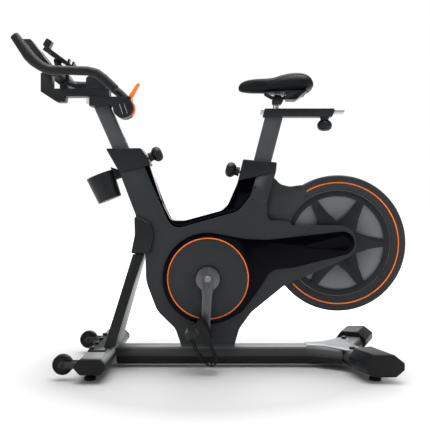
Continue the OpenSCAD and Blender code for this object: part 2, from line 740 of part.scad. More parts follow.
module toe_cage() {
    // Basket round the toe at the front of the platform, with the strap across it
    cage_r = 3.2;
    for (y = [-pedal_y - 18, -pedal_y - 72])
        bent_rod([[45.4, y, -4], [108, y, -6], [115, y, -30], [72, y, -54], [-14, y, -55]],
            cage_r, WIRE_SIDES);
    for (p = [[108, -6], [115, -30], [72, -54], [-14, -55]])
        bent_rod([[p.x, -pedal_y - 72, p.y], [p.x, -pedal_y - 18, p.y]], cage_r, WIRE_SIDES);
    for (y = [-pedal_y - 92.2, -pedal_y - 1.4 + 3.4]) slab(y, y + 2)
        polygon([[-26, -13], [-2, -15.2], [-2, -57], [-28, -57]]);
    slab(-pedal_y - 92.2, -pedal_y + 4) polygon([[-28, -57], [-2, -57], [-2, -59.4], [-28, -59.4]]);
}
module toe_cage_left() { color(rubber) at_left_pedal() toe_cage(); }
module toe_cage_right() { color(rubber) at_right_pedal() toe_cage(); }

// ---------------------------------------------------------------- handlebar post and stem
casting_low = 930;
casting_high = 963;
hub = [-331, 922];
hub_r = 36;
post_insert = -250;
post_rise = 240;
module post_tube(w, d, low, high, hole_side, hole_from, hole_count) {
    difference() {
        translate([0, 0, low]) linear_extrude(high - low) chamfered(w, d, 5);
        translate([0, 0, low - 1]) linear_extrude(high - low + 2)
            chamfered(w - 2 * post_wall, d - 2 * post_wall, 4);
        for (i = [0:hole_count - 1]) translate([0, 0, hole_from + 20 * i])
            rotate([0, 90 * hole_side, 0]) cylinder(h = w, d = index_hole);
    }
}
module handlebar_post() {
    color(steel_grey) difference() {
        at_head() post_tube(head_post_w, head_post_d, post_insert, post_rise, 1, pin_z_head - 100, 11);
        translate([-600, -100, casting_low]) cube([400, 200, 200]);
    }
}
slider_low = 936;
slider_high = 957;
module head_casting() {
    color(dark) difference() {
        union() {
            translate([-452, -30, casting_low]) cube([148, 60, casting_high - casting_low]);
            lateral_cylinder(hub, hub_r, -32, 32);
        }
        translate([-460, -18 - slide_gap, slider_low - slide_gap])
            cube([112, 36 + 2 * slide_gap, slider_high - slider_low + 2 * slide_gap]);
        translate([-460, -9, slider_high - 1]) cube([108, 18, 12]);
        difference() {
            lateral_cylinder(hub, hub_r + 18, -12.5, 12.5);
            lateral_cylinder(hub, hub_r - 1, -13, 13);
            translate([-420, -14, 860]) cube([75, 28, 120]);
        }
    }
}
lever_tip = [-279.5, 1007];
module resistance_lever() {
    color(orange) {
        difference() {
            lateral_cylinder(hub, hub_r + 4, -12, 12);
            lateral_cylinder(hub, hub_r - 1 + slide_gap, -13, 13);
            slab(-14, 14) polygon([hub, polar(hub, 90, 78), polar(hub, 90, 140), polar(hub, 90, 200),
                                   polar(hub, 90, 260), polar(hub, 90, 318)]);
        }
        slab(-8, 8) polygon([polar(hub, hub_r + 1, 50), polar(hub, hub_r + 1, 76),
            lever_tip + [-7.5, 2.5], lever_tip + [-1, 8], lever_tip + [6, 4]]);
    }
}
module handlebar_slider() {
    color(light_metal) {
        translate([-465, -18, slider_low]) cube([67, 36, slider_high - slider_low]);
        translate([-438, -8, slider_high]) cube([30, 16, 7.5]);
    }
}
stem_low = 964.5;
stem_high = 992;
crossbar = [-546, 1026];
module stem() {
    color(dark) difference() {
        union() {
            translate([-588, -25, stem_low]) cube([206, 50, stem_high - stem_low]);
            outline_slab([[-627, 1050, 6], [-627, 982, 4], [-570, 945, 4], [-540, 945, 3],
                [-536, 965, 0], [-587, 966, 0], [-587, 1050, 4]], -20, 20);
            outline_slab([[-697, 1158, 6], [-691, 1170, 4], [-664, 1170, 5], [-597, 1082, 20],
                [-587, 1049, 0], [-620, 1049, 0], [-634, 1068, 20]], -20, 20);
            translate([-559, -20, stem_high - 1]) cube([25, 40, 20]);
            bar([-538, 1014], [-464, 986], 12, 24);
            outline_slab([[-464, 991, 0], [-462, 1034, 10], [-430, 1037, 12], [-400, 1008, 12],
                [-388, 991, 0]], -32, 32);
            lateral_cylinder(crossbar, 24, -34, 34);
        }
        lateral_cylinder(crossbar, bar_r, -50, 50);
    }
}
module bar_side() {
    // Grip, side run and swelling horn, with the cross tube
    bent_rod([[-337, -155, 968], [-400, -158, 1024], [-523, -165, 1031], [-564, -160, 1033.5]],
        bar_r, BAR_SIDES);
    bent_rod([[crossbar.x, 0, crossbar.y], [crossbar.x, -45, crossbar.y],
        [crossbar.x, -160, crossbar.y + 6]], bar_r, BAR_SIDES);
    horn = [[-564, 1034, 16], [-586, 1046, 17], [-618, 1070, 19.5], [-645, 1101, 18], [-681, 1151, 16]];
    for (i = [0:len(horn) - 2]) hull() {
        translate([horn[i].x, -160 + 2 * i, horn[i].y]) sphere(r = horn[i][2], $fn = BAR_SIDES);
        translate([horn[i + 1].x, -158 + 2 * i, horn[i + 1].y])
            sphere(r = horn[i + 1][2], $fn = BAR_SIDES);
    }
}
module handlebar() {
    color(rubber) mirrored_pair() bar_side();
}
tablet_foot = [-520, 1072];
tablet_dir = unit([-86, 63]);
tablet_length = 91;
tablet_pivot = [-572, 1092];
// Point a distance s up the tablet rest's centre plane and d in front of it
function on_tablet(s, d) = tablet_foot + s * tablet_dir + d * [tablet_dir.y, -tablet_dir.x];
module tablet_arm() {
    color(dark) {
        difference() {
            bar([-556, 1030], [-566, 1079], 14, 24);
            lateral_cylinder(crossbar, 24, -13, 13);
        }
        difference() {
            for (side = [-1, 1]) {
                lateral_cylinder(tablet_pivot, 8.2, side * 18 - 5, side * 18 + 5);
                slab(side * 18 - 5, side * 18 + 5)
                    polygon([[-576, 1075], [-560, 1075], [-564, 1091], [-580, 1091]]);
            }
            lateral_cylinder(tablet_pivot, 5 + running_gap, -40, 40);
        }
        bar([-563, 1072], [-566, 1079], 18, 46);
    }
}
module tablet_rest() {
    color(rubber) {
        bar(tablet_foot, on_tablet(tablet_length, 0), 12, tablet_w);
        lateral_cylinder(tablet_pivot, 5, -23, 23);
        slab(-12, 12) polygon([tablet_pivot + [-8, -3], tablet_pivot + [6, -8], [-549, 1094], [-570, 1109]]);
        for (y = [-45, 45]) translate([0, y, 0]) slab(-12, 12) polygon([[-526, 1074], [-520, 1092],
            [-515, 1091], [-518, 1077], [-508, 1071], [-504, 1083], [-499, 1081], [-505, 1063],
            [-521, 1066]]);
    }
}
module tablet_clamp() {
    color(rubber) {
        outline_slab([[-622, 1149, 6], [-607, 1175, 6], [-587, 1162.5, 6], [-602, 1136.5, 4]], -16, 16);
        slab(-14, 14) polygon([on_tablet(70, -6.3), on_tablet(70, -10.5), on_tablet(119, -10.5),
            on_tablet(119, 9), on_tablet(98, 9), on_tablet(98, -6.3)]);
    }
}

// ---------------------------------------------------------------- pop pins
module pull_knob(reach) {
    // Pin, then a stem and a round head, along +Z from the post
    cylinder(h = 40, r = 4.5);
    translate([0, 0, reach]) knob(27.5, 34, 17, 16);
    translate([0, 0, 30]) cylinder(h = reach - 45, r = 6);
}
module post_knob() {
    color(rubber) at_head() translate([head_post_w / 2 + 0.5, 0, pin_z_head]) rotate([0, 90, 0]) pull_knob(66.5);
}
module seat_knob() {
    color(rubber) at_seat() translate([-seat_post_w / 2 - 0.5, 0, pin_z_seat]) rotate([0, -90, 0]) pull_knob(55.5);
}

// ---------------------------------------------------------------- seat
rail_low_z = 892;
rail_high_z = 921;
module seat_post() {
    color(steel_grey) difference() {
        at_seat() post_tube(seat_post_w, seat_post_d, -240, 200, -1, pin_z_seat - 100, 11);
        translate([0, -100, rail_low_z]) cube([400, 200, 200]);
    }
}
module seat_rail() {
    color(dark) difference() {
        outline_slab([[166, rail_low_z, 3], [174, rail_high_z, 3], [420, rail_high_z, 3],
            [424, 914, 3], [414, rail_low_z, 3]], -25, 25);
        translate([100, -17 - slide_gap, 899 - slide_gap]) cube([400, 34 + 2 * slide_gap, 19 + 2 * slide_gap]);
        translate([100, -12, 910]) cube([222, 24, 20]);
        translate([389.6, 0, 880]) cylinder(h = 20, r = 8.3);
    }
}
module seat_slider() {
    color(light_metal) {
        outline_slab([[155, 899, 2], [161, 918, 2], [461, 918, 2], [454, 899, 2]], -17, 17);
        translate([214, 0, 918]) cylinder(h = 21, r = 10.5);
    }
}
module rail_knob() {
    color(rubber) translate([389.6, 0, 880]) rotate([180, 0, 0]) knob(27, 37, 16, 11.5);
    color(rubber) translate([389.6, 0, 890]) cylinder(h = 7.2, r = 8);
}
module saddle_clamp() {
    color(dark) difference() {
        union() {
            outline_slab([[200, 937, 4], [200, 962, 8], [212, 972, 6], [232, 968, 8], [241, 950, 8],
                [232, 936, 4]], -17, 17);
            lateral_cylinder([218, 950.5], 6, -29, 29);
        }
        translate([214, 0, 930]) cylinder(h = 9, r = 10.5);
    }
}
module saddle_base() {
    // Moulded shell with its two steel rails
    color(dark) {
        hull() {
            translate([172, -22, 977]) cube([20, 44, 4]);
            translate([210, -38, 976]) cube([20, 76, 4]);
            translate([286, -74, 975]) cube([34, 148, 4]);
        }
        hull() {
            translate([246, -40, 975]) cube([20, 80, 4]);
            translate([250, -34, 952]) cube([34, 68, 4]);
            translate([290, -70, 975]) cube([24, 140, 4]);
        }
        mirrored_pair()
            bent_rod([[176, -14, 974], [200, -22, 962], [238, -22, 960], [290, -30, 974]], 3.5, WIRE_SIDES);
    }
}
// Saddle sections from nose to rear: [x, half width, underside, top]
saddle_sections = [[78, 9, 990, 1003], [87, 18, 985, 1015], [105, 24, 983, 1024], [139, 27, 983, 1027],
    [175, 31, 983, 1025], [205, 42, 982, 1028], [235, 62, 981, 1036], [265, 80, 980, 1043],
    [293, 90, 980, 1045], [316, 91, 981, 1042], [334, 79, 985, 1031], [345, 54, 994, 1015]];
module saddle_section(c) {
    half = c[1] * saddle_half / 92;
    rise = c[3] - c[2];
    translate([c.x, 0, 0]) rotate([90, 0, 90]) linear_extrude(0.5) polygon(concat(
        [[-half * 0.9, c[2]], [half * 0.9, c[2]]],
        [for (i = [0:12]) [half * cos(15 * i), c[2] + rise * (0.22 + 0.78 * pow(sin(15 * i), 0.75))]]));
}
module saddle() {
    color(rubber) for (i = [0:len(saddle_sections) - 2]) hull() {
        saddle_section(saddle_sections[i]);
        saddle_section(saddle_sections[i + 1]);
    }
}

// ---------------------------------------------------------------- bottle holder
cup_low = [-382, 596];
cup_lean = -22;
cup_h = 96;
module bottle_holder() {
    color(dark) difference() {
        union() {
            translate([cup_low.x, 0, cup_low.y]) rotate([0, cup_lean, 0]) cylinder(h = cup_h, r1 = 43, r2 = 51);
            outline_slab([[-400, 700, 0], [-376, 712, 0], [-348.9, 703, 0], [-336, 676, 0],
                [-360, 668, 0]], -14, 14);
        }
        translate([cup_low.x, 0, cup_low.y]) rotate([0, cup_lean, 0]) translate([0, 0, 4])
            cylinder(h = 160, r1 = 40, r2 = 53.3);
    }
}

module in_frame() { translate([origin_shift, 0, 0]) children(); }
in_frame() base_rail();
in_frame() rear_stabilizer();
in_frame() gusset_plate();
in_frame() end_boots();
in_frame() front_stabilizer();
in_frame() leveling_feet();
in_frame() transport_wheel_left();
in_frame() transport_wheel_right();
in_frame() frame_bolts();
in_frame() front_strut();
in_frame() strut_cover();
in_frame() main_frame();
in_frame() wheel_arms();
in_frame() left_shroud();
in_frame() right_shroud();
in_frame() window_trim();
in_frame() head_collar();
in_frame() seat_collar();
in_frame() side_cover_left();
in_frame() side_cover_right();
in_frame() crank_covers();
in_frame() accent_rings();
in_frame() wheel_guard_left();
in_frame() wheel_guard_right();
in_frame() cover_screws();
in_frame() drive_belt();
in_frame() magnet_caliper();
in_frame() bearings();
in_frame() flywheel();
in_frame() spoke_covers();
in_frame() flywheel_axle();
in_frame() flywheel_pulley();
in_frame() crank_axle();
in_frame() crank_arm_left();
in_frame() crank_arm_right();
in_frame() crank_pulley();
in_frame() pedal_spindles();
in_frame() pedal_left();
in_frame() pedal_right();
in_frame() toe_cage_left();
in_frame() toe_cage_right();
in_frame() handlebar_post();
in_frame() head_casting();
in_frame() resistance_lever();
in_frame() handlebar_slider();
in_frame() stem();
in_frame() handlebar();
in_frame() tablet_arm();
in_frame() tablet_rest();
in_frame() tablet_clamp();
in_frame() post_knob();
in_frame() seat_knob();
in_frame() seat_post();
in_frame() seat_rail();
in_frame() seat_slider();
in_frame() rail_knob();
in_frame() saddle_clamp();
in_frame() saddle_base();
in_frame() saddle();
in_frame() bottle_holder();
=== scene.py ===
import json
import math

import bmesh
import bpy
from mathutils import Matrix, Vector


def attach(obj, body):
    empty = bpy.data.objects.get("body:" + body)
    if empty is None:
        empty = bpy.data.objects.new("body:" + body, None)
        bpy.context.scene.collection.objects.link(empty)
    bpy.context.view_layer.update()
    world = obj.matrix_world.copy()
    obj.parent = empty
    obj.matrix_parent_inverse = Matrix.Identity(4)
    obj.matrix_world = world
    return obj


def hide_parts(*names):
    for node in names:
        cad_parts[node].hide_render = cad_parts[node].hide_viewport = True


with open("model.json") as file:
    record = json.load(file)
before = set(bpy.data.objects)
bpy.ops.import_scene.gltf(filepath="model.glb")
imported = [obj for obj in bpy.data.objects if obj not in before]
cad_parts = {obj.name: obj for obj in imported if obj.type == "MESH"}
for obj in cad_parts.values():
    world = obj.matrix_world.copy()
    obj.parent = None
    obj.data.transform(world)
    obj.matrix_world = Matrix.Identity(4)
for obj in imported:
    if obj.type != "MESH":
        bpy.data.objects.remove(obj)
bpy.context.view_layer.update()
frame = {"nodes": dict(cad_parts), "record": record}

scene = bpy.context.scene
MM = 0.001

# Main dimensions of the design, in millimetres and degrees, as in the part's source
SHIFT = 10.51
CRANK_X, CRANK_Z = -28, 317.5
CRANK_LENGTH = 170
CRANK_LEAN = 2.6
CRANK_FACE = 76.2
PEDAL_Y = 86
PEDAL_TURN = {"left": 61.4, "right": -8}
SHROUD_HALF, COLLAR_HALF, SLEEVE_HALF, SIDE_COVER_HALF, GUARD_HALF = 48, 43, 66, 54, 26
HEAD_TOP, HEAD_LEAN = (-340.5, 776), -24
SEAT_TOP, SEAT_LEAN = (167, 738), 14.5
HUB_FLANK = 32.1
WHEEL_CENTRE = (0.444, 0, 0.441)  # metres


# ------------------------------------------------------------------ materials
def new_material(name, colour, roughness, metallic=0.0):
    """A Principled material; returns it with its node tree and shader."""
    material = bpy.data.materials.new(name)
    material.use_nodes = True
    shader = material.node_tree.nodes["Principled BSDF"]
    shader.inputs["Base Color"].default_value = (*colour, 1)
    shader.inputs["Roughness"].default_value = roughness
    shader.inputs["Metallic"].default_value = metallic
    return material, material.node_tree, shader


def place_coordinates(tree, scale=(1, 1, 1)):
    """Object coordinates, scaled along each axis."""
    coordinates = tree.nodes.new("ShaderNodeTexCoord")
    mapping = tree.nodes.new("ShaderNodeMapping")
    mapping.inputs["Scale"].default_value = scale
    tree.links.new(coordinates.outputs["Object"], mapping.inputs["Vector"])
    return mapping.outputs["Vector"]


def noise(tree, vector, scale, detail, roughness=0.5):
    node = tree.nodes.new("ShaderNodeTexNoise")
    node.inputs["Scale"].default_value = scale
    node.inputs["Detail"].default_value = detail
    node.inputs["Roughness"].default_value = roughness
    tree.links.new(vector, node.inputs["Vector"])
    return node.outputs["Fac"]


def spread(tree, value, low, high, from_low=0.3, from_high=0.7):
    """Maps a texture value to the range low to high."""
    node = tree.nodes.new("ShaderNodeMapRange")
    node.inputs["From Min"].default_value = from_low
    node.inputs["From Max"].default_value = from_high
    node.inputs["To Min"].default_value = low
    node.inputs["To Max"].default_value = high
    tree.links.new(value, node.inputs["Value"])
    return node.outputs["Result"]


def two_tone(tree, value, dark, light, from_low=0.35, from_high=0.65):
    """Colour ramp between two tones, driven by a texture value."""
    ramp = tree.nodes.new("ShaderNodeValToRGB")
    ramp.color_ramp.elements[0].position = from_low
    ramp.color_ramp.elements[1].position = from_high
    ramp.color_ramp.elements[0].color = (*dark, 1)
    ramp.color_ramp.elements[1].color = (*light, 1)
    tree.links.new(value, ramp.inputs["Fac"])
    return ramp.outputs["Color"]


def bump(tree, shader, height, strength, distance):
    node = tree.nodes.new("ShaderNodeBump")
    node.inputs["Strength"].default_value = strength
    node.inputs["Distance"].default_value = distance
    tree.links.new(height, node.inputs["Height"])
    tree.links.new(node.outputs["Normal"], shader.inputs["Normal"])


def scaled(colour, factor):
    return tuple(min(1.0, channel * factor) for channel in colour)


def moulded(name, colour, roughness, grain=1400, depth=0.4, specular=0.5):
    """Moulded plastic or powder coat: fine grain, faint cloudiness."""
    material, tree, shader = new_material(name, colour, roughness)
    shader.inputs["Specular IOR Level"].default_value = specular
    vector = place_coordinates(tree)
    cloud = noise(tree, vector, 9, 4)
    fine = noise(tree, vector, grain, 2)
    tone = two_tone(tree, cloud, scaled(colour, 0.93), scaled(colour, 1.07))
    tree.links.new(tone, shader.inputs["Base Color"])
    tree.links.new(spread(tree, fine, roughness - 0.05, roughness + 0.06), shader.inputs["Roughness"])
    bump(tree, shader, fine, depth, 0.0002)
    return material


def glossy(name, colour, roughness, coat, specular):
    """Smooth gloss plastic with a trace of orange peel; coat is the weight of its clear coat."""
    material, tree, shader = new_material(name, colour, roughness)
    shader.inputs["Coat Weight"].default_value = coat
    shader.inputs["Specular IOR Level"].default_value = specular
    shader.inputs["Coat Roughness"].default_value = 0.04
    vector = place_coordinates(tree)
    peel = noise(tree, vector, 60, 2)
    smear = noise(tree, vector, 7, 5)
    tree.links.new(spread(tree, smear, roughness * 0.8, roughness * 1.3), shader.inputs["Roughness"])
    tone = two_tone(tree, smear, scaled(colour, 0.85), scaled(colour, 1.2))
    tree.links.new(tone, shader.inputs["Base Color"])
    bump(tree, shader, peel, 0.05, 0.0004)
    return material


def brushed(name, colour, roughness, stretch=(6, 900, 900)):
    """Brushed metal: fine scratches along one axis."""
    material, tree, shader = new_material(name, colour, roughness, 1.0)
    vector = place_coordinates(tree, stretch)
    lines = noise(tree, vector, 1.0, 4, 0.7)
    tree.links.new(spread(tree, lines, roughness - 0.08, roughness + 0.12), shader.inputs["Roughness"])
    tone = two_tone(tree, lines, scaled(colour, 0.85), scaled(colour, 1.1))
    tree.links.new(tone, shader.inputs["Base Color"])
    bump(tree, shader, lines, 0.12, 0.0002)
    return material


def woven(name, colour):
    """Flat webbing: crossed ribs with a soft sheen."""
    pitch, waves_per_turn = 0.0011, 0.314
    material, tree, shader = new_material(name, colour, 0.8)
    shader.inputs["Sheen Weight"].default_value = 0.3
    vector = place_coordinates(tree)
    heights = []
    for axis in ("X", "Y"):
        wave = tree.nodes.new("ShaderNodeTexWave")
        wave.bands_direction = axis
        wave.inputs["Scale"].default_value = waves_per_turn / pitch
        tree.links.new(vector, wave.inputs["Vector"])
        heights.append(wave.outputs["Fac"])
    both = tree.nodes.new("ShaderNodeMath")
    both.operation = "MULTIPLY"
    tree.links.new(heights[0], both.inputs[0])
    tree.links.new(heights[1], both.inputs[1])
    tone = two_tone(tree, both.outputs["Value"], scaled(colour, 0.7), scaled(colour, 1.3), 0.1, 0.9)
    tree.links.new(tone, shader.inputs["Base Color"])
    bump(tree, shader, both.outputs["Value"], 0.5, 0.0004)
    return material


def leather(name, colour, roughness):
    """Synthetic leather: pebbled cells, finer creases, polish that varies."""
    material, tree, shader = new_material(name, colour, roughness)
    shader.inputs["Specular IOR Level"].default_value = 0.1
    vector = place_coordinates(tree)
    cells = tree.nodes.new("ShaderNodeTexVoronoi")
    cells.feature = "SMOOTH_F1"
    cells.inputs["Scale"].default_value = 620
    cells.inputs["Smoothness"].default_value = 0.6
    tree.links.new(vector, cells.inputs["Vector"])
    crease = noise(tree, vector, 180, 5, 0.6)
    wear = noise(tree, vector, 14, 4)
    height = tree.nodes.new("ShaderNodeMath")
    height.operation = "MULTIPLY_ADD"
    height.inputs[1].default_value = 0.5
    tree.links.new(crease, height.inputs[0])
    tree.links.new(cells.outputs["Distance"], height.inputs[2])
    tree.links.new(spread(tree, wear, roughness - 0.07, roughness + 0.08), shader.inputs["Roughness"])
    tone = two_tone(tree, wear, scaled(colour, 0.8), scaled(colour, 1.25))
    tree.links.new(tone, shader.inputs["Base Color"])
    bump(tree, shader, height.outputs["Value"], 0.25, 0.0005)
    return material


def base_painted_light(name, low, side, top):
    """Powder coat of the base tubes by height: painted shade (near black) underneath, grey paint on the sides,
    painted highlight (light grey) on the tops.
    """
    material, tree, shader = new_material(name, side, 0.36)
    shader.inputs["Specular IOR Level"].default_value = 0.3
    coordinates = tree.nodes.new("ShaderNodeTexCoord")
    split = tree.nodes.new("ShaderNodeSeparateXYZ")
    tree.links.new(coordinates.outputs["Object"], split.inputs["Vector"])
    # Painted shade low down and painted highlight at the top, by object height
    ramp = tree.nodes.new("ShaderNodeValToRGB")
    highest = 0.09
    stops = ((0.0, low), (0.44, low), (0.50, scaled(side, 0.8)), (0.72, side), (0.80, top), (1.0, top))
    elements = ramp.color_ramp.elements
    while len(elements) < len(stops):
        elements.new(0.5)
    for element, (position, colour) in zip(elements, stops):
        element.position = position
        element.color = (*colour, 1)
    tree.links.new(spread(tree, split.outputs["Z"], 0.0, 1.0, 0.0, highest), ramp.inputs["Fac"])
    tree.links.new(ramp.outputs["Color"], shader.inputs["Base Color"])
    fine = noise(tree, coordinates.outputs["Object"], 2600, 2)
    tree.links.new(spread(tree, fine, 0.30, 0.42), shader.inputs["Roughness"])
    bump(tree, shader, fine, 0.2, 0.0002)
    return material


def shaded_cast_disc(name, dark, light, centre, inner, outer):
    """Painted casting, darker at the inner radius and lighter at the outer one; the darkening towards the
    middle is painted shade.
    """
    material, tree, shader = new_material(name, light, 0.45, 0.35)
    coordinates = tree.nodes.new("ShaderNodeTexCoord")
    distance = tree.nodes.new("ShaderNodeVectorMath")
    distance.operation = "DISTANCE"
    distance.inputs[1].default_value = centre
    tree.links.new(coordinates.outputs["Object"], distance.inputs[0])
    ring = spread(tree, distance.outputs["Value"], 0.0, 1.0, inner, outer)
    tree.links.new(two_tone(tree, ring, dark, light, 0.0, 1.0), shader.inputs["Base Color"])
    fine = noise(tree, coordinates.outputs["Object"], 700, 3)
    tree.links.new(spread(tree, fine, 0.40, 0.52), shader.inputs["Roughness"])
    bump(tree, shader, fine, 0.4, 0.0003)
    return material


MATERIALS = {
    "charcoal": moulded("charcoal", (0.0155, 0.0180, 0.0195), 0.48, 1400, 0.4, 0.28),
    "dark_plastic": moulded("dark_plastic", (0.0068, 0.0085, 0.0095), 0.44, 1400, 0.4, 0.22),
    "gloss_black": glossy("gloss_black", (0.0005, 0.0005, 0.0018), 0.14, 0.0, 0.05),
    "dark_steel": moulded("dark_steel", (0.045, 0.047, 0.049), 0.38, 2600, 0.2, 0.4),
    "black_steel": moulded("black_steel", (0.006, 0.007, 0.008), 0.36, 2600, 0.2, 0.3),
    # Base tubes: grey paint with painted shade underneath and a painted highlight on top
    "base_painted_light": base_painted_light("base_painted_light", (0.0015, 0.0015, 0.0022), (0.036, 0.039, 0.041),
                             (0.17, 0.172, 0.175)),
    "silver_grey": moulded("silver_grey", (0.30, 0.31, 0.32), 0.36, 2600, 0.2),
    "bare_steel": brushed("bare_steel", (0.26, 0.26, 0.27), 0.34),
    "bright_aluminium": brushed("bright_aluminium", (0.62, 0.63, 0.65), 0.34),
    # Flywheel disc: painted shade darkening it towards the hub
    "cast_grey": shaded_cast_disc("cast_grey", (0.045, 0.050, 0.053), (0.165, 0.178, 0.185), WHEEL_CENTRE,
                           0.06, 0.170),
    "accent_orange": glossy("accent_orange", (0.84, 0.15, 0.014), 0.36, 0.05, 0.3),
    "black_rubber": moulded("black_rubber", (0.0035, 0.0037, 0.0042), 0.55, 2200, 0.6, 0.24),
    "wheel_tyre": moulded("wheel_tyre", (0.006, 0.006, 0.007), 0.55, 1500, 0.5, 0.25),
    "black_plastic": moulded("black_plastic", (0.0035, 0.004, 0.005), 0.46, 1400, 0.4, 0.24),
    "saddle_cover": leather("saddle_cover", (0.0045, 0.0052, 0.006), 0.46),
    "webbing": woven("webbing", (0.012, 0.012, 0.013)),
    "thread": moulded("thread", (0.05, 0.05, 0.052), 0.7, 3000, 0.4),
    "satin_steel": brushed("satin_steel", (0.115, 0.116, 0.12), 0.36, (500, 500, 12)),
    "hub_line": brushed("hub_line", (0.75, 0.75, 0.76), 0.3),
}


# ------------------------------------------------------------------ nodes and pieces
slot_of = {part["node"]: part["material_slot"] for part in frame["record"]["subparts"]}
body_of = {node: body for body, nodes in frame["record"]["behaviour"]["bodies"].items() for node in nodes}
OWN_MATERIAL = {
    # The base tubes take the material with painted shade underneath and a painted highlight on top
    "base_rail": "base_painted_light", "rear_stabilizer": "base_painted_light", "front_stabilizer": "base_painted_light",
    "spoke_covers": "dark_plastic",
}


def at(x, y, z):
    """Design millimetres to scene metres."""
    return Vector(((x + SHIFT) * MM, y * MM, z * MM))


for node, cad_object in frame["nodes"].items():
    cad_object.data.materials.clear()
    cad_object.data.materials.append(MATERIALS[slot_of[node]])


def add_piece(name, mesh, node, material=None, replaces=True, smooth=40):
    """Links a mesh as a piece on a node's body, in the node's material slot."""
    piece = bpy.data.objects.new(name, mesh)
    scene.collection.objects.link(piece)
    mesh.materials.clear()
    mesh.materials.append(material or MATERIALS[OWN_MATERIAL.get(node, slot_of[node])])
    if smooth:
        mesh.shade_smooth()
        mesh.set_sharp_from_angle(angle=math.radians(smooth))
    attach(piece, body_of[node])
    if replaces:
        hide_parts(node)
    return piece


def clean_copy(node):
    """The node's solid as a bmesh with flat regions joined into single faces."""
    shape = bmesh.new()
    shape.from_mesh(frame["nodes"][node].data)
    bmesh.ops.remove_doubles(shape, verts=shape.verts, dist=0.00002)
    bmesh.ops.dissolve_limit(shape, angle_limit=math.radians(1.0), verts=shape.verts, edges=shape.edges)
    shape.normal_update()
    return shape


def sharp_edges(shape, degrees):
    """Edges between two faces that meet at more than the given angle."""
    limit = math.radians(degrees)
    return [e for e in shape.edges if len(e.link_faces) == 2 and e.calc_face_angle(0) > limit]


def bevel(shape, edges, width, segments):
    """Rounds the edges, with the width in millimetres."""
    if edges:
        bmesh.ops.bevel(shape, geom=edges, offset=width * MM, offset_type="OFFSET", segments=segments,
                        profile=0.5, affect="EDGES", clamp_overlap=True, miter_outer="ARC")


def soften(node, width, segments=2, rim=None, rim_width=0):
    """Replaces a node by its own solid with rounded edges; rim picks edges for a wider rounding."""
    rim_angle, edge_angle = 40, 28
    shape = clean_copy(node)
    if rim:
        bevel(shape, [e for e in sharp_edges(shape, rim_angle) if rim(e)], rim_width, 5)
        shape.normal_update()
    bevel(shape, sharp_edges(shape, edge_angle), width, segments)
    return add_piece(node + "_body", to_mesh(shape, node + "_body"), node)


def outer_rim(half):
    """Test for edges that lie in the two lateral planes at +-half."""
    slack = 0.6
    return lambda e: all(abs(abs(v.co.y) - half * MM) < slack * MM for v in e.verts)


def tube(name, points, radii, node, sides=20, replaces=False, material=None, resolution=6):
    """Smooth tube with round ends through the points, with its own radius at each."""
    data = bpy.data.curves.new(name, "CURVE")
    data.dimensions = "3D"
    data.bevel_depth = 1.0
    data.bevel_resolution = sides // 4
    data.use_fill_caps = True
    data.resolution_u = resolution
    line = data.splines.new("NURBS")
    line.order_u = 3
    line.use_endpoint_u = True
    line.points.add(len(points) - 1)
    for point, place, radius in zip(line.points, points, radii):
        point.co = (*place, 1)
        point.radius = radius * MM
    holder = bpy.data.objects.new(name + "_path", data)
    scene.collection.objects.link(holder)
    mesh = bpy.data.meshes.new_from_object(holder.evaluated_get(bpy.context.evaluated_depsgraph_get()))
    bpy.data.objects.remove(holder)
    mesh.name = name
    return add_piece(name, mesh, node, material, replaces)


def circle(count):
    """Angles of the corners of a regular polygon."""
    return [math.tau * i / count for i in range(count)]


def skin(shape, sections, closed_ends=False):
    """Adds the faces between rings of equal length, and optionally the two end faces."""
    rings = [[shape.verts.new(point) for point in ring] for ring in sections]
    for first, second in zip(rings, rings[1:]):
        for i in range(len(first)):
            j = (i + 1) % len(first)
            shape.faces.new((first[i], first[j], second[j], second[i]))
    if closed_ends:
        shape.faces.new(list(reversed(rings[0])))
        shape.faces.new(rings[-1])


def loft(sections):
    """Closed skin through rings of equal length."""
    shape = bmesh.new()
    skin(shape, sections, closed_ends=True)
    bmesh.ops.recalc_face_normals(shape, faces=shape.faces)
    return shape


def to_mesh(shape, name):
    """Turns a bmesh into a mesh and frees it."""
    mesh = bpy.data.meshes.new(name)
    shape.to_mesh(mesh)
    shape.free()
    return mesh


# ------------------------------------------------------------------ rigid parts
for name, width, half, rim_width in (
        ("left_shroud", 0.8, SHROUD_HALF, 7), ("right_shroud", 0.8, SHROUD_HALF, 7),
        ("head_collar", 1.2, COLLAR_HALF, 3), ("seat_collar", 1.2, COLLAR_HALF, 3),
        ("strut_cover", 1.2, SLEEVE_HALF, 7),
        ("side_cover_left", 0.8, SIDE_COVER_HALF, 2.2), ("side_cover_right", 0.8, SIDE_COVER_HALF, 2.2)):
    soften(name, width, rim=outer_rim(half), rim_width=rim_width)
soften("crank_covers", 0.8)
for name, width, segments in (
        ("window_trim", 0.7, 2), ("wheel_guard_left", 1.2, 2), ("wheel_guard_right", 1.2, 2),
        ("front_strut", 2.5, 3), ("base_rail", 2.0, 3), ("rear_stabilizer", 3.0, 3), ("gusset_plate", 1.0, 2),
        ("front_stabilizer", 1.5, 2), ("end_boots", 3.0, 3), ("spoke_covers", 0.8, 2),
        ("crank_arm_left", 2.2, 3), ("crank_arm_right", 2.2, 3), ("pedal_left", 1.0, 2),
        ("pedal_right", 1.0, 2), ("head_casting", 2.5, 3), ("resistance_lever", 1.4, 3), ("stem", 2.5, 3),
        ("tablet_rest", 1.6, 2), ("tablet_clamp", 2.5, 3), ("tablet_arm", 1.2, 2), ("seat_rail", 1.8, 2),
        ("seat_slider", 0.8, 2), ("saddle_clamp", 1.6, 2), ("handlebar_slider", 0.8, 2),
        ("bottle_holder", 1.3, 2), ("handlebar_post", 0.8, 2), ("seat_post", 0.8, 2),
        ("magnet_caliper", 1.0, 2), ("frame_bolts", 0.8, 2), ("main_frame", 1.5, 2)):
    soften(name, width, segments)


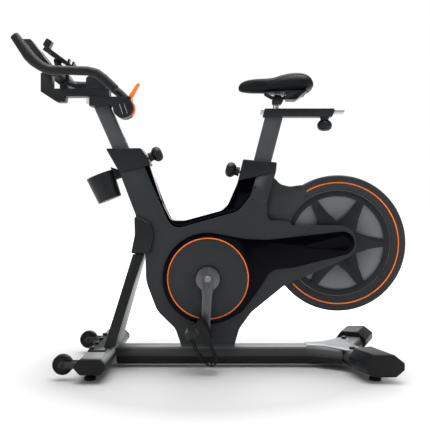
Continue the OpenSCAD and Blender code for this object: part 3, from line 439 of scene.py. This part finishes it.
# ------------------------------------------------------------------ handlebar
def handlebar():
    """One coated tube per side, from grip to swelling horn, with the cross tube."""
    grip_end, grip_radius = (-337, 155, 968), 14.8
    horn_end, horn_radius = (-681, 150, 1152), 15.0
    cross = [(0, 1026), (45, 1026), (60, 1026.5), (110, 1029), (150, 1031.5)]
    for name, side in (("left", -1), ("right", 1)):
        route = [grip_end, (-352, 155, 982), (-376, 156, 1004), (-400, 158, 1022), (-430, 160, 1030),
                 (-480, 163, 1031), (-523, 165, 1032), (-560, 161, 1034), (-586, 159, 1045), (-612, 157, 1064),
                 (-630, 156, 1082), (-646, 154, 1104), (-662, 152, 1126), (-674, 150.5, 1143), horn_end]
        radii = [grip_radius, 16.0, 16.4, 16.2, 15.6, 15.4, 15.6, 16.0, 16.8, 18.6, 19.0, 17.8, 16.6, 15.8,
                 horn_radius]
        main = tube("handlebar_" + name, [at(x, side * y, z) for x, y, z in route], radii, "handlebar",
                    28, replaces=side < 0, resolution=8)
        ends = [at(x, side * y, z) for x, y, z in (grip_end, horn_end)]
        rounded_ends(main, ends, grip_radius, horn_radius)
        tube("cross_tube_" + name, [at(-546, side * y, z) for y, z in cross], [15.8] * len(cross),
             "handlebar", 24)
        ring_on_tube("grip_ring_" + name, at(-341, side * 155, 971.7), ends[0], 16.3, 3, "handlebar")


def rounded_ends(piece, ends, *radii):
    """Rounds off the flat caps of a tube."""
    shape = bmesh.new()
    shape.from_mesh(piece.data)
    bmesh.ops.remove_doubles(shape, verts=shape.verts, dist=0.00005)
    for end, radius in zip(ends, radii):
        caps = [f for f in shape.faces if len(f.verts) > 8 and (f.calc_center_median() - end).length < 0.004]
        bevel(shape, [e for f in caps for e in f.edges], radius * 0.5, 6)
    shape.to_mesh(piece.data)
    shape.free()
    piece.data.shade_smooth()


def ring_on_tube(name, centre, toward, radius, width, node):
    """Short raised band round a tube."""
    axis = (toward - centre).normalized()
    turn = axis.to_track_quat("Z", "Y").to_matrix()
    profile = [(radius - 1.5, -width / 2), (radius, -width / 2 + 0.6),
               (radius, width / 2 - 0.6), (radius - 1.5, width / 2)]
    rings = [[centre + turn @ Vector((r * math.cos(a), r * math.sin(a), h)) * MM for a in circle(40)]
             for r, h in profile]
    return add_piece(name, to_mesh(loft(rings), name), node, None, False)


# ------------------------------------------------------------------ saddle
# Position, half width, underside and top of each section, in millimetres
SADDLE_SECTIONS = [(78, 9, 990, 1003), (87, 18, 985, 1015), (105, 24, 983, 1024), (139, 27, 983, 1027),
                   (175, 31, 983, 1025), (205, 42, 982, 1028), (235, 62, 981, 1036), (265, 80, 980, 1043),
                   (293, 90, 980, 1045), (316, 91, 981, 1042), (334, 79, 985, 1031), (345, 54, 994, 1015)]


def smooth_between(rows, count):
    """Catmull-Rom samples through the rows of numbers."""
    samples = []
    for i in range(len(rows) - 1):
        p0, p1, p2, p3 = rows[max(i - 1, 0)], rows[i], rows[i + 1], rows[min(i + 2, len(rows) - 1)]
        for k in range(count):
            t = k / count
            samples.append(tuple(
                0.5 * (2 * b + (c - a) * t + (2 * a - 5 * b + 4 * c - d) * t * t
                       + (3 * b - a - 3 * c + d) * t ** 3)
                for a, b, c, d in zip(p0, p1, p2, p3)))
    return samples + [tuple(rows[-1])]


def saddle_rings(grow):
    """Closed rings: a crowned top with a shallow channel, sides that roll under."""
    side_level = 0.30
    rings = []
    for x, half, low, top in smooth_between(SADDLE_SECTIONS, 4):
        half, low, top = half + grow, low - grow * 0.6, top + grow
        ring = []
        for a in circle(56):
            c, s = math.cos(a), math.sin(a)
            y = half * math.copysign(abs(c) ** 0.78, c)
            if s >= 0:
                z = low + (top - low) * (side_level + (1 - side_level) * s ** 0.80)
                z -= (top - low) * 0.055 * math.exp(-(y / 9) ** 2)
            else:
                z = low + (top - low) * (side_level + side_level * s)
            ring.append(at(x, y, z))
        rings.append(ring)
    return rings


def settle(piece):
    """Inflates a padded cover with cloth and applies the result, each point held within cap."""
    voxel, cap, frames = 0.005, 0.005, 16
    remesh = piece.modifiers.new("remesh", "REMESH")
    remesh.mode = "VOXEL"
    remesh.voxel_size = voxel
    bake_modifiers(piece)
    start = [v.co.copy() for v in piece.data.vertices]
    cloth = piece.modifiers.new("cloth", "CLOTH")
    cloth.settings.quality = 6
    cloth.settings.mass = 0.3
    cloth.settings.tension_stiffness = 25
    cloth.settings.compression_stiffness = 25
    cloth.settings.bending_stiffness = 12.0
    cloth.settings.use_pressure = True
    cloth.settings.uniform_pressure_force = 3.0
    cloth.settings.effector_weights.gravity = 0
    cloth.collision_settings.use_collision = False
    cloth.point_cache.frame_start = 1
    cloth.point_cache.frame_end = frames
    for step in range(1, frames + 1):
        scene.frame_set(step)
    bake_modifiers(piece)
    scene.frame_set(1)
    for vertex, before in zip(piece.data.vertices, start):
        move = vertex.co - before
        if move.length > cap:
            vertex.co = before + move * (cap / move.length)
    bpy.context.view_layer.update()


def bake_modifiers(piece):
    """Applies the modifiers of a piece."""
    evaluated = piece.evaluated_get(bpy.context.evaluated_depsgraph_get())
    mesh = bpy.data.meshes.new_from_object(evaluated)
    piece.modifiers.clear()
    old = piece.data
    piece.data = mesh
    bpy.data.meshes.remove(old)


def saddle():
    """Padded cover settled by cloth, with a stitched seam along each side."""
    mesh = to_mesh(loft(saddle_rings(1.5)), "saddle_cover")
    cover = bpy.data.objects.new("saddle_cover", mesh)
    scene.collection.objects.link(cover)
    settle(cover)
    smooth = cover.modifiers.new("smooth", "SMOOTH")
    smooth.iterations = 10
    smooth.factor = 0.5
    subdivide = cover.modifiers.new("subdivide", "SUBSURF")
    subdivide.levels = subdivide.render_levels = 1
    bake_modifiers(cover)
    cover.data.materials.clear()
    cover.data.materials.append(MATERIALS["saddle_cover"])
    cover.data.shade_smooth()
    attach(cover, "saddle_unit")
    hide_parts("saddle")
    # Seam where the top panel meets the side panel, with its stitches on each side
    rows = smooth_between(SADDLE_SECTIONS, 6)
    probe = cover.evaluated_get(bpy.context.evaluated_depsgraph_get())
    above = 1100
    for side, name in ((-1, "left"), (1, "right")):
        seam = []
        for x, half, *_ in rows[6:-5]:
            hit, place, normal, _ = probe.ray_cast(at(x, side * half * 0.80, above), Vector((0, 0, -1)))
            if hit:
                seam.append(place + normal * 0.0001)
        if len(seam) > 3:
            tube("saddle_seam_" + name, seam, [0.9] * len(seam), "saddle", 8)
        stitch_line("saddle_stitches_" + name, seam, probe, side)


def stitch_line(name, seam, probe, side):
    """A row of thread stitches beside a seam."""
    shape = bmesh.new()
    spacing, length, beside, thread, tip = 0.0055, 0.0036, 0.0035, 0.00045, 0.0002
    travelled = 0.0
    for a, b in zip(seam, seam[1:]):
        span = (b - a).length
        while travelled < span:
            along = (b - a).normalized()
            middle = a + along * travelled + Vector((0, -side * beside, 0))
            hit, place, normal, _ = probe.ray_cast(middle + Vector((0, 0, 0.03)), Vector((0, 0, -1)))
            if hit:
                across = normal.cross(along).normalized()
                rings = []
                for end in (-1, -0.6, 0.6, 1):
                    width, lift = (thread, thread) if abs(end) < 1 else (tip, 0.0)
                    centre = place + along * (length / 2 * end) + normal * lift
                    rings.append([centre + across * width * math.cos(t) + normal * width * math.sin(t)
                                  for t in circle(6)])
                skin(shape, rings, closed_ends=True)
            travelled += spacing
        travelled -= span
    bmesh.ops.recalc_face_normals(shape, faces=shape.faces)
    return add_piece(name, to_mesh(shape, name), "saddle", MATERIALS["thread"], False)


# ------------------------------------------------------------------ knobs
# Head radius and height, stem radius and height, in millimetres
PULL_KNOB = (27.5, 34, 17, 16)
RAIL_KNOB = (27, 37, 16, 11.5)


def knob(node, origin, axis, reach, head_r, head_h, stem_r, stem_h, pin):
    """Grip knob with six shallow flutes, its head reach away from origin; pin adds the shaft to the post."""
    turn = axis.to_track_quat("Z", "Y").to_matrix()
    profile = [(0.2, reach - stem_h), (stem_r - 1, reach - stem_h), (stem_r, reach - stem_h + 1),
               (stem_r * 0.92, reach - stem_h * 0.35), (stem_r * 0.95, reach - 1), (stem_r + 1.5, reach),
               (head_r * 0.78, reach + head_h * 0.08), (head_r * 0.93, reach + head_h * 0.22),
               (head_r, reach + head_h * 0.42), (head_r * 0.985, reach + head_h * 0.58),
               (head_r * 0.90, reach + head_h * 0.76), (head_r * 0.74, reach + head_h * 0.89),
               (head_r * 0.52, reach + head_h * 0.965), (head_r * 0.46, reach + head_h * 0.955),
               (head_r * 0.40, reach + head_h * 0.985), (0.2, reach + head_h)]
    rings = []
    for r, h in profile:
        ring = []
        for a in circle(96):
            grip = max(0.0, min(1.0, (r - head_r * 0.7) / (head_r * 0.3)))
            flute = 1 - 0.085 * grip * max(0.0, math.cos(6 * a)) ** 2
            ring.append(origin + turn @ Vector((r * flute * math.cos(a), r * flute * math.sin(a), h)) * MM)
        rings.append(ring)
    add_piece(node + "_head", to_mesh(loft(rings), node), node)
    if pin:
        shaft = [[origin + turn @ Vector((r * math.cos(a), r * math.sin(a), h)) * MM for a in circle(32)]
                 for r, h in ((3.2, 0.6), (4.3, 1.8), (4.3, 30), (5.8, 30.5), (5.8, reach - stem_h + 0.5))]
        add_piece(node + "_pin", to_mesh(loft(shaft), node), node, MATERIALS["bare_steel"], False)


def knobs():
    """The pull knobs of the two posts, set below their collars, and the knob under the seat rail."""
    for node, top, degrees, facing, below, face, reach in (
            ("post_knob", HEAD_TOP, HEAD_LEAN, 1, 67, 28, 66.5),
            ("seat_knob", SEAT_TOP, SEAT_LEAN, -1, 62, 31.5, 55.5)):
        lean = math.radians(degrees)
        up = Vector((math.sin(lean), 0, math.cos(lean)))
        out = Vector((facing * math.cos(lean), 0, -facing * math.sin(lean)))
        origin = at(top[0], 0, top[1]) + up * -below * MM + out * face * MM
        knob(node, origin, out, reach, *PULL_KNOB, pin=True)
    knob("rail_knob", at(389.6, 0, 880), Vector((0, 0, -1)), 0, *RAIL_KNOB, pin=False)


# ------------------------------------------------------------------ pedals
def pedal_frame(name, side):
    """Maps pedal coordinates (along, out, up) to the scene for the left or right pedal."""
    lean = math.radians(CRANK_LEAN)
    hub = Vector((CRANK_X + side * CRANK_LENGTH * math.sin(lean), 0,
                  CRANK_Z + side * CRANK_LENGTH * math.cos(lean)))
    turn = Matrix.Rotation(math.radians(CRANK_LEAN + PEDAL_TURN[name]), 3, "Y")

    def place(x, out, z):
        spot = hub + turn @ Vector((x, 0, z))
        return at(spot.x, side * out, spot.z)
    return place


def toe_cages():
    """Two bent wires and four rungs round each toe, with a strap and its buckle."""
    wires, rungs = (18, 72), (18, 30, 45, 60, 72)
    path = [(45, -4), (80, -5), (104, -6), (113, -12), (115, -26), (109, -36), (90, -47), (70, -54),
            (40, -55), (-14, -55)]
    for name, side in (("left", -1), ("right", 1)):
        place, node = pedal_frame(name, side), "toe_cage_" + name
        for k, out in enumerate(wires):
            tube(node + "_wire_" + str(k), [place(x, PEDAL_Y + out, z) for x, z in path], [3.1] * len(path),
                 node, 12, replaces=k == 0)
        for k, (x, z) in enumerate(((107, -7), (113.5, -30), (72, -53), (-14, -55))):
            tube(node + "_rung_" + str(k), [place(x, PEDAL_Y + out, z) for out in rungs], [3.0] * len(rungs),
                 node, 12)
        # Webbing strap over the cage, through the pedal body, with a buckle on the outer side
        loop = [(-14, PEDAL_Y - 3.4, -14), (-15, PEDAL_Y - 3.8, -40), (-15, PEDAL_Y - 2, -55),
                (-15, PEDAL_Y + 4, -58.6), (-15, PEDAL_Y + 45, -60.4), (-15, PEDAL_Y + 86, -58.6),
                (-15, PEDAL_Y + 91.2, -55), (-15, PEDAL_Y + 92.0, -40), (-14, PEDAL_Y + 91.6, -14)]
        band = ((-12, -0.8), (-11.2, -1.0), (11.2, -1.0), (12, -0.8),
                (12, 0.8), (11.2, 1.0), (-11.2, 1.0), (-12, 0.8))
        rings = []
        rows = smooth_between(loop, 6)
        for i, (x, out, z) in enumerate(rows):
            before, after = rows[max(i - 1, 0)], rows[min(i + 1, len(rows) - 1)]
            run = Vector((0, after[1] - before[1], after[2] - before[2])).normalized()
            normal = Vector((0, run.z, -run.y))
            rings.append([place(x + w, out + n * normal.y, z + n * normal.z)
                          for w, n in band])
        add_piece(node + "_strap", to_mesh(loft(rings), node), node, MATERIALS["webbing"], False)
        corners = ((-29, -46), (1, -46), (1, -24), (-29, -24))
        shape = loft([[place(x, PEDAL_Y + 92.8 + depth, z) for x, z in corners] for depth in (0, 2.6)])
        bevel(shape, shape.edges[:], 0.9, 2)
        add_piece(node + "_buckle", to_mesh(shape, node), node, MATERIALS["black_steel"], False)


# ------------------------------------------------------------------ small details
def hub_lines():
    """Two slanted bright inlays on the flanks of the hub drum."""
    for name, y in (("left", -HUB_FLANK), ("right", HUB_FLANK)):
        for k, (top, bottom) in enumerate((((-344, 937), (-331, 898)), ((-328, 939), (-315, 902)))):
            points = [at(top[0] + (bottom[0] - top[0]) * t, y, top[1] + (bottom[1] - top[1]) * t)
                      for t in (0, 0.25, 0.5, 0.75, 1)]
            tube("hub_line_%s_%d" % (name, k), points, [0.3, 0.9, 1.0, 0.9, 0.3], "head_casting", 8,
                 material=MATERIALS["hub_line"])


def socket_screws():
    """Countersunk socket screws on the covers, in place of the plain discs."""
    taper_from, taper_height, taper = 545, 155, 8
    profile = ((4, 0), (4, 0.7), (3.4, 1.2), (2.1, 1.2), (1.9, 0.3), (0.1, 0.3))
    places = []
    for x, z in ((137, 640), (129, 598), (-205, 600), (330, 495), (-60, 112), (20, 112)):
        narrow = max(0, min(1, (z - taper_from) / taper_height))
        places.append((x, SHROUD_HALF - taper * narrow + 0.3, z))
    for x, z in ((200, 540), (322, 607), (290, 637)):
        places.append((x, GUARD_HALF, z))
    shape = bmesh.new()
    for x, out, z in places:
        for side in (-1, 1):
            skin(shape, [[at(x + r * math.cos(a), side * (out + h), z + r * math.sin(a)) for a in circle(24)]
                         for r, h in profile])
    bmesh.ops.recalc_face_normals(shape, faces=shape.faces)
    add_piece("socket_screws", to_mesh(shape, "socket_screws"), "cover_screws", MATERIALS["black_steel"], True,
              30)


def crank_bolts():
    """Crank bolts with a hex socket, and the dust ring round each."""
    # Radius, distance from the middle, and whether the ring is a corner-rounded hexagon
    profile = ((11, 78, False), (11, 79.6, False), (10, 80.4, False), (8.6, 80.4, False), (8.0, 79.2, False),
               (6.2, 79.2, False), (5.6, 80.2, False), (4.3, 80.2, True), (3.9, 76.5, True), (0.1, 76.5, False))
    for side, name in ((-1, "left"), (1, "right")):
        shape = bmesh.new()
        rings = []
        for r, out, hexagon in profile:
            ring = []
            for a in circle(48):
                radius = r / math.cos((a % (math.pi / 3)) - math.pi / 6) * 0.93 if hexagon else r
                ring.append(at(CRANK_X + radius * math.cos(a), side * out, CRANK_Z + radius * math.sin(a)))
            rings.append(ring)
        skin(shape, rings)
        bmesh.ops.recalc_face_normals(shape, faces=shape.faces)
        add_piece("crank_bolt_" + name, to_mesh(shape, "crank_bolt"), "crank_axle", None, False, 30)


def arm_ribs():
    """Two raised ribs along each crank arm, spreading towards its boss."""
    turn = Matrix.Rotation(math.radians(CRANK_LEAN), 3, "Y")
    spread_and_height = ((1.5, -26), (1.25, -40), (1.05, -60), (1, -90), (1, -120), (1, -148))
    for side, name in ((-1, "left"), (1, "right")):
        for k, x in enumerate((-8.5, 8.5)):
            spots = [turn @ Vector((x * w * -side, 0, z * -side)) for w, z in spread_and_height]
            points = [at(CRANK_X + spot.x, side * CRANK_FACE, CRANK_Z + spot.z) for spot in spots]
            tube("arm_rib_%s_%d" % (name, k), points, [0.4, 1.4, 1.5, 1.5, 1.5, 0.4], "crank_arm_" + name, 10)


handlebar()
saddle()
knobs()
crank_bolts()
arm_ribs()
toe_cages()
hub_lines()
socket_screws()


# ------------------------------------------------------------------ stage
# Name, place, target, width in metres and power in watts
LIGHTS = (
    ("overhead", (0, 0.1, 3.0), (0, 0.1, 0), 2.6, 140),
    ("key", (-2.2, -2.6, 2.2), (-0.1, 0, 0.6), 1.2, 18),
    ("side", (2.8, -1.6, 1.2), (0.2, 0, 0.6), 0.9, 12),
    ("back", (0.2, 3.0, 2.0), (0, 0, 0.6), 2.4, 45),
)
FLOOR_RADIUS = 40
CAMERA_PLACE = (0.0743, -2.582, 0.5945)
CAMERA_LENS = 60.05
CAMERA_SHIFT = (-0.0442, -0.0349)


def area_light(name, place, target, size, energy):
    """Square area light aimed at a target."""
    data = bpy.data.lights.new(name, "AREA")
    data.energy = energy
    data.size = size
    lamp = bpy.data.objects.new(name, data)
    scene.collection.objects.link(lamp)
    lamp.location = place
    lamp.rotation_euler = (Vector(target) - Vector(place)).to_track_quat("-Z", "Y").to_euler()


def floor_material():
    """Pale floor: matt grey under the bike, with a painted glow (emission) rising further out that fades it
    into the white surround.
    """
    material, tree, shader = new_material("studio_floor", (0.50, 0.50, 0.505), 0.55)
    shader.inputs["Specular IOR Level"].default_value = 0.25
    shader.inputs["Emission Color"].default_value = (1, 1, 1, 1)
    coordinates = tree.nodes.new("ShaderNodeTexCoord")
    length = tree.nodes.new("ShaderNodeVectorMath")
    length.operation = "LENGTH"
    tree.links.new(coordinates.outputs["Object"], length.inputs[0])
    # Painted glow: the floor's emission grows with distance from the middle
    painted_glow = spread(tree, length.outputs["Value"], 0.0, 1.05, 0.55, 1.3)
    tree.links.new(painted_glow, shader.inputs["Emission Strength"])
    return material


def build_stage():
    """Floor, surround and lights; the surround is white to the camera and dimmer as a light."""
    mesh = bpy.data.meshes.new("studio_floor")
    shape = bmesh.new()
    bmesh.ops.create_circle(shape, cap_ends=True, radius=FLOOR_RADIUS, segments=96)
    shape.to_mesh(mesh)
    shape.free()
    floor = bpy.data.objects.new("studio_floor", mesh)
    scene.collection.objects.link(floor)
    mesh.materials.append(floor_material())

    world = bpy.data.worlds.new("studio")
    world.use_nodes = True
    tree = world.node_tree
    backdrop = tree.nodes["Background"]
    backdrop.inputs["Color"].default_value = (1, 1, 1, 1)
    backdrop.inputs["Strength"].default_value = 1.0
    surround = tree.nodes.new("ShaderNodeBackground")
    coordinates = tree.nodes.new("ShaderNodeTexCoord")
    split = tree.nodes.new("ShaderNodeSeparateXYZ")
    tree.links.new(coordinates.outputs["Generated"], split.inputs["Vector"])
    sky = spread(tree, split.outputs["Z"], 0.16, 0.75, 0.0, 0.9)
    tree.links.new(sky, surround.inputs["Strength"])
    path = tree.nodes.new("ShaderNodeLightPath")
    choose = tree.nodes.new("ShaderNodeMixShader")
    tree.links.new(path.outputs["Is Camera Ray"], choose.inputs["Fac"])
    tree.links.new(surround.outputs["Background"], choose.inputs[1])
    tree.links.new(backdrop.outputs["Background"], choose.inputs[2])
    tree.links.new(choose.outputs["Shader"], tree.nodes["World Output"].inputs["Surface"])
    scene.world = world
    for light in LIGHTS:
        area_light(*light)


def build_camera():
    """Level camera on the left side, centred a little above and behind the middle."""
    data = bpy.data.cameras.new("camera")
    data.sensor_width = 36
    data.lens = CAMERA_LENS
    data.shift_x, data.shift_y = CAMERA_SHIFT
    camera = bpy.data.objects.new("camera", data)
    scene.collection.objects.link(camera)
    camera.location = CAMERA_PLACE
    camera.rotation_euler = (math.radians(90), 0, 0)
    scene.camera = camera


scene.view_settings.view_transform = "Standard"
build_stage()
build_camera()
